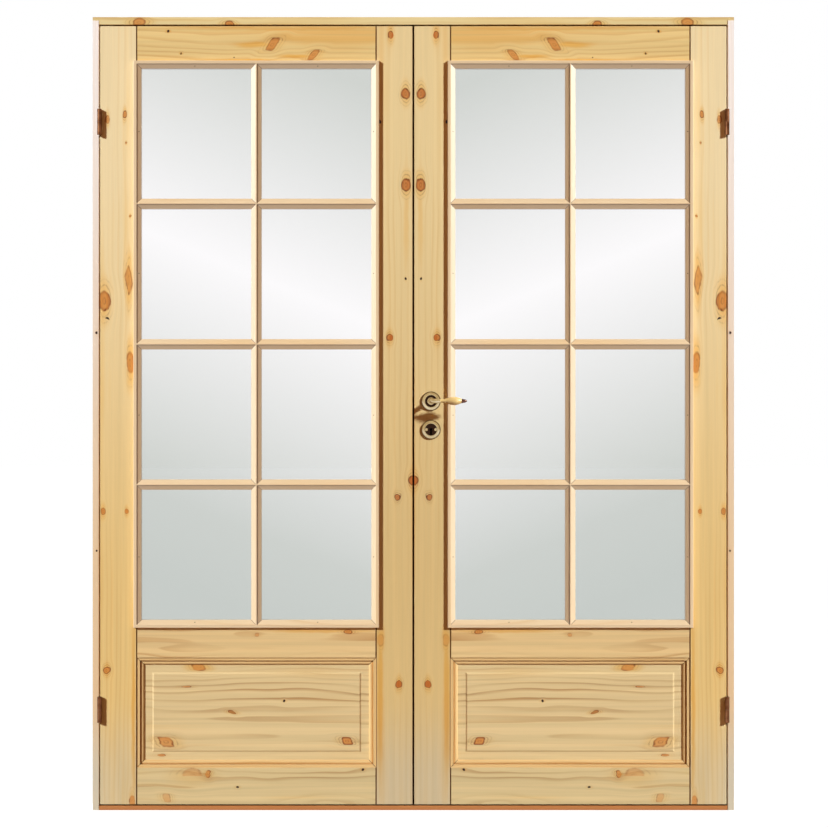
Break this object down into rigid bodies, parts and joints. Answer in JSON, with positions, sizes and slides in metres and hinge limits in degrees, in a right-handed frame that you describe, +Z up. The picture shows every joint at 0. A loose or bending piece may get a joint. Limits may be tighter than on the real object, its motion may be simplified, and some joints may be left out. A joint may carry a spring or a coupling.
{
  "type": "double doors with frame",
  "caption": "Pair of glazed pine doors in a rebated frame, each leaf with a barred window over a raised panel, lift-off hinges, flush bolts and a lever-handled mortise lock.",
  "frame": {"origin": "on the floor, in the middle of the width and of the closed leaves' thickness", "axes": "+X to the right seen from the front, +Y towards the back of the frame, +Z up"},
  "size_m": [1.69, 0.172, 2.09],
  "materials": {
    "pine": "clear lacquer",
    "pine_frame": "clear lacquer",
    "pine_moulding": "clear lacquer",
    "threshold_hardwood": "oiled",
    "dowel_beech": "plain",
    "glass": "clear float",
    "hinge_brass": "satin",
    "zinc_steel": "zinc plated",
    "polished_nickel": "polished",
    "grip_cream": "lacquered",
    "black_seal": "matte"
  },
  "bodies": {
    "frame": {"left_jamb": "pine_frame", "right_jamb": "pine_frame", "head": "pine_frame", "threshold": "threshold_hardwood", "frame_seal": "black_seal", "frame_hinge_halves": "hinge_brass", "hinge_pins": "zinc_steel", "frame_hinge_screws": "hinge_brass", "head_bolt_strike": "zinc_steel", "threshold_bolt_socket": "hinge_brass"},
    "left_leaf": {"left_hinge_stile": "pine", "left_meeting_stile": "pine", "left_top_rail": "pine", "left_mid_rail": "pine", "left_bottom_rail": "pine", "left_dowels": "dowel_beech", "left_panel": "pine", "left_panel_mouldings": "pine_moulding", "left_glass": "glass", "left_front_lattice": "pine_moulding", "left_back_lattice": "pine_moulding", "left_hinge_halves": "hinge_brass", "left_hinge_screws": "hinge_brass", "lock_strike_plate": "zinc_steel", "back_meeting_seal": "black_seal", "top_bolt_case": "hinge_brass", "bottom_bolt_case": "hinge_brass"},
    "right_leaf": {"right_hinge_stile": "pine", "right_meeting_stile": "pine", "right_top_rail": "pine", "right_mid_rail": "pine", "right_bottom_rail": "pine", "right_dowels": "dowel_beech", "right_panel": "pine", "right_panel_mouldings": "pine_moulding", "right_glass": "glass", "right_front_lattice": "pine_moulding", "right_back_lattice": "pine_moulding", "right_hinge_halves": "hinge_brass", "right_hinge_screws": "hinge_brass", "meeting_seal": "black_seal", "lock_case": "zinc_steel", "lock_faceplate": "zinc_steel", "front_rose": "polished_nickel", "back_rose": "polished_nickel", "front_key_escutcheon": "polished_nickel", "back_key_escutcheon": "polished_nickel", "escutcheon_screws": "polished_nickel"},
    "lever": {"lock_follower": "zinc_steel", "spindle": "zinc_steel", "front_lever": "polished_nickel", "back_lever": "polished_nickel", "front_grip": "grip_cream", "back_grip": "grip_cream", "front_tip": "polished_nickel", "back_tip": "polished_nickel"},
    "latch": {"latch_bolt": "zinc_steel"},
    "dead_bolt": {"dead_bolt": "zinc_steel"},
    "top_bolt": {"top_flush_bolt": "hinge_brass"},
    "bottom_bolt": {"bottom_flush_bolt": "hinge_brass"}
  },
  "joints": [
    {"name": "left_leaf_swing", "type": "hinge", "parent": "frame", "child": "left_leaf", "pos_m": [-0.82625, -0.0265, 1.041], "axis": [0, 0, -1], "range_deg": [0, 170]},
    {"name": "right_leaf_swing", "type": "hinge", "parent": "frame", "child": "right_leaf", "pos_m": [0.82625, -0.0265, 1.041], "axis": [0, 0, 1], "range_deg": [0, 170]},
    {"name": "lever_turn", "type": "hinge", "parent": "right_leaf", "child": "lever", "pos_m": [0.0465, 0, 1.078], "axis": [0, 1, 0], "range_deg": [0, 40], "stiffness_Nm_per_rad": 1.5, "springref_deg": -20.05},
    {"name": "latch_slide", "type": "slide", "parent": "right_leaf", "child": "latch", "axis": [1, 0, 0], "range_m": [0, 0.012]},
    {"name": "dead_bolt_slide", "type": "slide", "parent": "right_leaf", "child": "dead_bolt", "axis": [-1, 0, 0], "range_m": [0, 0.014]},
    {"name": "top_bolt_slide", "type": "slide", "parent": "left_leaf", "child": "top_bolt", "axis": [0, 0, 1], "range_m": [0, 0.015]},
    {"name": "bottom_bolt_slide", "type": "slide", "parent": "left_leaf", "child": "bottom_bolt", "axis": [0, 0, -1], "range_m": [0, 0.0115]}
  ],
  "couplings": [
    {"joint": "latch_slide", "follows": "lever_turn", "m_per_rad": 0.01718}
  ]
}
